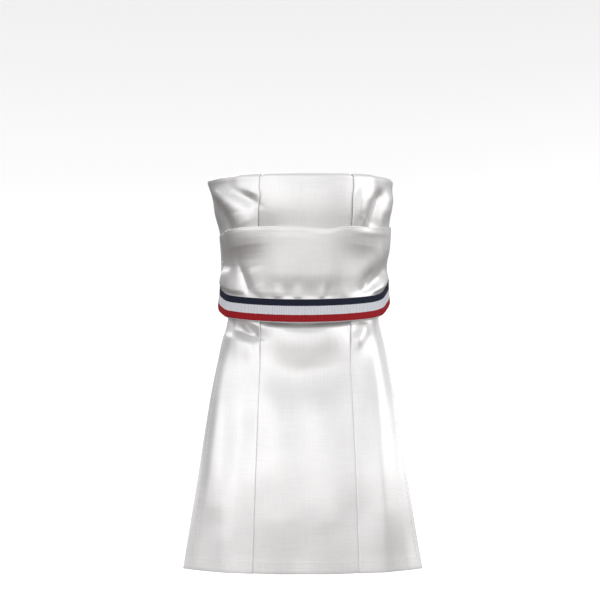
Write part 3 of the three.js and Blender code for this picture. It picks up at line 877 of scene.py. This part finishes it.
def ribbon():
    radius = RIBBON_HALF
    columns = edged(-CROSS_LEFT_END, CROSS_RIGHT_END, RIBBON_GRID["columns"], radius, radius)
    down = edged(0, RIBBON_WIDTH, RIBBON_GRID["rows"], radius, radius)
    s, v = np.meshgrid(columns, down)
    z = ribbon_top(s) - v
    point = cross_points(s, z, RIBBON_LEVEL)
    from_edge = np.minimum(from_border(v, down), from_border(s, columns))
    half = RIBBON_HALF * cap(from_edge, radius)
    uv = np.stack([s, RIBBON_WIDTH - v], -1)
    piece = cloth("striped_ribbon_weave", point, half, uv)
    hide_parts("striped_ribbon")
    return piece


# Materials

# Satin: colours of its faint mottling, and how the weave's two sets of threads show. The scales are for each
# metre, and the relief is in metres. The folded edges of the pleats are painted a little lighter, a painted
# highlight that lessens the shade falling along them.
SATIN_DARK = (0.85, 0.845, 0.84)
SATIN_LIGHT = (0.895, 0.89, 0.885)
MOTTLE_SCALE = 45
WARP_SCALES = (1500, 45)
WEFT_SCALES = (50, 1300)
CREASE_SCALE = 260
WEAVE_RELIEF = 0.00003
CREASE_RELIEF = 0.00004
SATIN_ROUGHNESS = 0.37
ROUGHNESS_BY_THREADS = 0.07
SATIN_TONE = 0.87
TONE_BY_THREADS = 0.12
PLEAT_EDGE_PAINTED_LIGHT = 0.06
SATIN_METALLIC = 0.7

# Grosgrain: its three colours, its ribs, and how far they and the uneven threads push the stripes' borders.
# The grooves between the ribs are darkened with painted shade, and the uneven threads add a random tone.
RED = (0.37, 0.008, 0.015)
WHITE = (0.80, 0.82, 0.88)
NAVY = (0.012, 0.016, 0.036)
UNEVEN_SCALES = (900, 120)
UNEVEN_SHIFT = 0.5
RIB_SHIFT = 0.14
GROOVE_PAINTED_SHADE = 0.72
RIB_SHADE_AND_TONE = 0.22
RIB_RELIEF = 0.00012

# Tape and thread.
TAPE_DARK = (0.62, 0.62, 0.61)
TAPE_LIGHT = (0.86, 0.86, 0.85)
LOOP_SCALE = 2200
LOOP_RELIEF = 0.0005
THREAD_DARK = (0.74, 0.735, 0.73)
THREAD_LIGHT = (0.88, 0.88, 0.87)
FIBRE_SCALE = 4000
FIBRE_RELIEF = 0.00006

# The noise values between which a mottled colour goes from dark to light.
MOTTLE_FROM = 0.3
MOTTLE_TO = 0.7


def new_material(name):
    material = bpy.data.materials.new(name)
    material.use_nodes = True
    tree = material.node_tree
    return material, tree, tree.nodes["Principled BSDF"]


def cloth_place(tree, across, down):
    """Places on the cloth, from the map that is in metres, with the two directions scaled."""
    uv = tree.nodes.new("ShaderNodeUVMap")
    uv.uv_map = "cloth"
    scaled = tree.nodes.new("ShaderNodeMapping")
    scaled.inputs["Scale"].default_value = (across, down, 1)
    tree.links.new(uv.outputs["UV"], scaled.inputs["Vector"])
    return scaled.outputs["Vector"]


def noise(tree, place, scale, detail=2.0):
    made = tree.nodes.new("ShaderNodeTexNoise")
    made.inputs["Scale"].default_value = scale
    made.inputs["Detail"].default_value = detail
    tree.links.new(place, made.inputs["Vector"])
    return made.outputs["Fac"]


def math_node(tree, operation, *values):
    made = tree.nodes.new("ShaderNodeMath")
    made.operation = operation
    for socket, value in zip(made.inputs, values):
        if isinstance(value, (int, float)):
            socket.default_value = value
        else:
            tree.links.new(value, socket)
    return made.outputs["Value"]


def ramp(tree, factor, rows, interpolation="LINEAR"):
    made = tree.nodes.new("ShaderNodeValToRGB")
    made.color_ramp.interpolation = interpolation
    stops = made.color_ramp.elements
    for number, (position, colour) in enumerate(rows):
        stop = stops[number] if number < 2 else stops.new(position)
        stop.position = position
        stop.color = (*colour, 1)
    tree.links.new(factor, made.inputs["Fac"])
    return made.outputs["Color"]


def mottled(tree, factor, dark, light):
    return ramp(tree, factor, [(MOTTLE_FROM, dark), (MOTTLE_TO, light)])


def bump(tree, height, distance, below=None):
    made = tree.nodes.new("ShaderNodeBump")
    made.inputs["Distance"].default_value = distance
    tree.links.new(height, made.inputs["Height"])
    if below is not None:
        tree.links.new(below, made.inputs["Normal"])
    return made.outputs["Normal"]


def satin():
    material, tree, shader = new_material("satin")
    links = tree.links
    even = cloth_place(tree, 1, 1)
    tint = mottled(tree, noise(tree, even, MOTTLE_SCALE, 3), SATIN_DARK, SATIN_LIGHT)
    crease = tree.nodes.new("ShaderNodeUVMap")
    crease.uv_map = "crease"
    painted_highlight_mask = tree.nodes.new("ShaderNodeSeparateXYZ")
    links.new(crease.outputs["UV"], painted_highlight_mask.inputs["Vector"])
    warp = noise(tree, cloth_place(tree, *WARP_SCALES), 1)
    weft = noise(tree, cloth_place(tree, *WEFT_SCALES), 1)
    threads = math_node(tree, "ADD", warp, weft)
    creases = noise(tree, even, CREASE_SCALE, 4)
    fine = bump(tree, threads, WEAVE_RELIEF)
    links.new(bump(tree, creases, CREASE_RELIEF, fine), shader.inputs["Normal"])
    gloss = math_node(tree, "MULTIPLY_ADD", threads, ROUGHNESS_BY_THREADS, SATIN_ROUGHNESS)
    links.new(gloss, shader.inputs["Roughness"])
    woven = math_node(tree, "MULTIPLY_ADD", threads, TONE_BY_THREADS, SATIN_TONE)
    # Painted highlight: the pleats' folded edges, marked in the map crease, are painted a little lighter to
    # lessen the shade along them.
    lighter = math_node(tree, "MULTIPLY_ADD", painted_highlight_mask.outputs["X"], PLEAT_EDGE_PAINTED_LIGHT, 1)
    tinted = tree.nodes.new("ShaderNodeVectorMath")
    tinted.operation = "SCALE"
    links.new(tint, tinted.inputs[0])
    links.new(math_node(tree, "MULTIPLY", woven, lighter), tinted.inputs["Scale"])
    links.new(tinted.outputs["Vector"], shader.inputs["Base Color"])
    shader.inputs["Metallic"].default_value = SATIN_METALLIC
    return material


def grosgrain():
    material, tree, shader = new_material("grosgrain")
    links = tree.links
    split = tree.nodes.new("ShaderNodeSeparateXYZ")
    links.new(cloth_place(tree, 1 / MM, 1 / MM), split.inputs["Vector"])
    along, up = split.outputs["X"], split.outputs["Y"]
    turns = math_node(tree, "MULTIPLY", along, 2 * math.pi / RIB_PITCH)
    rib = math_node(tree, "MULTIPLY_ADD", math_node(tree, "SINE", turns), 0.5, 0.5)
    uneven = noise(tree, cloth_place(tree, *UNEVEN_SCALES), 1)
    shift = math_node(tree, "MULTIPLY_ADD", uneven, UNEVEN_SHIFT, -UNEVEN_SHIFT / 2)
    scallop = math_node(tree, "MULTIPLY_ADD", rib, RIB_SHIFT, shift)
    edge = math_node(tree, "DIVIDE", math_node(tree, "ADD", up, scallop), RIBBON_WIDTH)
    borders = [(0.0, RED), (RED_SHARE, WHITE), (RED_SHARE + WHITE_SHARE, NAVY)]
    stripes = ramp(tree, edge, borders, "CONSTANT")
    shade = tree.nodes.new("ShaderNodeMix")
    shade.data_type = "RGBA"
    shade.blend_type = "MULTIPLY"
    shade.inputs["Factor"].default_value = 1
    links.new(stripes, shade.inputs["A"])
    # Painted shade in the grooves between the ribs, with the uneven threads' random tone added.
    relief = math_node(tree, "ADD", rib, uneven)
    groove_shade_and_tone = math_node(tree, "MULTIPLY_ADD", relief, RIB_SHADE_AND_TONE, GROOVE_PAINTED_SHADE)
    links.new(groove_shade_and_tone, shade.inputs["B"])
    links.new(shade.outputs["Result"], shader.inputs["Base Color"])
    links.new(bump(tree, rib, RIB_RELIEF), shader.inputs["Normal"])
    shader.inputs["Roughness"].default_value = 0.7
    shader.inputs["Specular IOR Level"].default_value = 0.2
    return material


def tape():
    material, tree, shader = new_material("hook_loop")
    links = tree.links
    loops = noise(tree, cloth_place(tree, 1, 1), LOOP_SCALE, 4)
    links.new(mottled(tree, loops, TAPE_DARK, TAPE_LIGHT), shader.inputs["Base Color"])
    links.new(bump(tree, loops, LOOP_RELIEF), shader.inputs["Normal"])
    shader.inputs["Roughness"].default_value = 0.9
    return material


def thread():
    material, tree, shader = new_material("thread")
    links = tree.links
    place = tree.nodes.new("ShaderNodeTexCoord").outputs["Object"]
    fibres = noise(tree, place, FIBRE_SCALE, 2)
    links.new(mottled(tree, fibres, THREAD_DARK, THREAD_LIGHT), shader.inputs["Base Color"])
    links.new(bump(tree, fibres, FIBRE_RELIEF), shader.inputs["Normal"])
    shader.inputs["Roughness"].default_value = 0.6
    return material


band, band_stitches = neck_band()
front, front_stitches = pleated_front()
cross, cross_stitches = cross_band()
striped = ribbon()
patch = back_patch()
sewing = [band_stitches, *front_stitches, *cross_stitches]
satin_material = satin()
thread_material = thread()
pieces = [
    (band, satin_material, "satin"),
    (front, satin_material, "satin"),
    (cross, satin_material, "satin"),
    (striped, grosgrain(), "ribbon"),
    (patch, tape(), "hook_loop"),
    *[(row, thread_material, "satin") for row in sewing],
]
for piece, material, slot in pieces:
    piece.data.materials.append(material)
    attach(piece, "root")


# Stage and light

# The surround changes smoothly from its colour straight down to that straight up. It is dimmed on the side
# away from the bright one, between two values of how far a direction points toward that.
SURROUND_BELOW = (0.062, 0.045, 0.034)
SURROUND_ABOVE = (0.60, 0.60, 0.61)
SURROUND_STRENGTH = 1.19
BRIGHT_SIDE = (0.5, -0.866, 0.0)
DARK_SIDE_SHARE = 0.45
DARK_SIDE_FROM = -0.95
DARK_SIDE_TO = -0.3

# The pale floor, in metres: a flat disc, a quarter turn up and a wall.
FLOOR_Z = -0.34
FLOOR_RADIUS = 1.6
FLOOR_BEND = 1.2
FLOOR_BEND_STEPS = 12
FLOOR_WALL_TOP = 4.0
FLOOR_SIDES = 96
FLOOR_TONE = 0.88
FLOOR_GLOW = 0.4

# Area lights, in metres and watts.
LIGHTS = [
    dict(name="front", at=(0.1, -2.3, 0.62), target=(0, 0, -0.02), wide=3.6, high=1.6, power=16),
    dict(name="key", at=(2.1, -0.3, 0.9), target=(0, 0, 0), wide=1.8, high=1.6, power=15),
    dict(name="fill", at=(-1.8, -1.3, 1.0), target=(0, 0, 0), wide=2.4, high=1.8, power=12),
    dict(name="back", at=(-1.6, 4.4, 2.6), target=(0, 0, 0), wide=3.4, high=2.4, power=120),
]


def bowl():
    """A seamless pale floor that curves up all round."""
    profile = [(0.0, 0.0), (FLOOR_RADIUS, 0.0)]
    for k in range(1, FLOOR_BEND_STEPS + 1):
        turn = math.radians(90 * k / FLOOR_BEND_STEPS)
        rise = FLOOR_BEND * (1 - math.cos(turn))
        profile.append((FLOOR_RADIUS + FLOOR_BEND * math.sin(turn), rise))
    profile.append((FLOOR_RADIUS + FLOOR_BEND, FLOOR_WALL_TOP))
    around = FLOOR_SIDES
    vertices, faces = [(0.0, 0.0, 0.0)], []
    for radius, height in profile[1:]:
        for k in range(around):
            turn = 2 * math.pi * k / around
            vertices.append((radius * math.cos(turn), radius * math.sin(turn), height))
    for k in range(around):
        faces.append((0, 1 + k, 1 + (k + 1) % around))
    for ring in range(len(profile) - 2):
        for k in range(around):
            a, b = 1 + ring * around + k, 1 + ring * around + (k + 1) % around
            faces.append((a, a + around, b + around, b))
    mesh = bpy.data.meshes.new("floor")
    mesh.from_pydata(vertices, [], faces)
    made = mesh_object("floor", mesh)
    made.location = (0, 0, FLOOR_Z)
    made.visible_diffuse = False
    made.visible_glossy = False
    made.visible_shadow = False
    material, _, shader = new_material("floor")
    shader.inputs["Base Color"].default_value = (FLOOR_TONE, FLOOR_TONE, FLOOR_TONE, 1)
    shader.inputs["Roughness"].default_value = 0.9
    shader.inputs["Emission Color"].default_value = (1, 1, 1, 1)
    shader.inputs["Emission Strength"].default_value = FLOOR_GLOW
    made.data.materials.append(material)


def world():
    """A soft surround: lighter from above than from below, and dimmed behind the wearer's right shoulder."""
    made = bpy.data.worlds.new("world")
    bpy.context.scene.world = made
    made.use_nodes = True
    tree = made.node_tree
    nodes, links = tree.nodes, tree.links
    place = nodes.new("ShaderNodeTexCoord")
    split = nodes.new("ShaderNodeSeparateXYZ")
    links.new(place.outputs["Generated"], split.inputs["Vector"])
    height = math_node(tree, "MULTIPLY_ADD", split.outputs["Z"], 0.5, 0.5)
    colour = ramp(tree, height, [(0.0, SURROUND_BELOW), (1.0, SURROUND_ABOVE)], "EASE")
    toward = nodes.new("ShaderNodeVectorMath")
    toward.operation = "DOT_PRODUCT"
    toward.inputs[1].default_value = BRIGHT_SIDE
    links.new(place.outputs["Generated"], toward.inputs[0])
    sides = nodes.new("ShaderNodeMapRange")
    sides.interpolation_type = "SMOOTHSTEP"
    sides.inputs["From Min"].default_value = DARK_SIDE_FROM
    sides.inputs["From Max"].default_value = DARK_SIDE_TO
    sides.inputs["To Min"].default_value = DARK_SIDE_SHARE
    sides.inputs["To Max"].default_value = 1
    links.new(toward.outputs["Value"], sides.inputs["Value"])
    tinted = nodes.new("ShaderNodeVectorMath")
    tinted.operation = "SCALE"
    links.new(colour, tinted.inputs[0])
    links.new(sides.outputs["Result"], tinted.inputs["Scale"])
    links.new(tinted.outputs["Vector"], nodes["Background"].inputs["Color"])
    nodes["Background"].inputs["Strength"].default_value = SURROUND_STRENGTH


def area_light(row):
    data = bpy.data.lights.new(row["name"], "AREA")
    data.shape = "RECTANGLE"
    data.size = row["wide"]
    data.size_y = row["high"]
    data.energy = row["power"]
    made = bpy.data.objects.new(row["name"], data)
    made.location = row["at"]
    toward = Vector(row["target"]) - Vector(row["at"])
    made.rotation_euler = toward.to_track_quat("-Z", "Y").to_euler()
    bpy.context.scene.collection.objects.link(made)


bpy.context.scene.view_settings.view_transform = "Standard"
bowl()
world()
for light in LIGHTS:
    area_light(light)
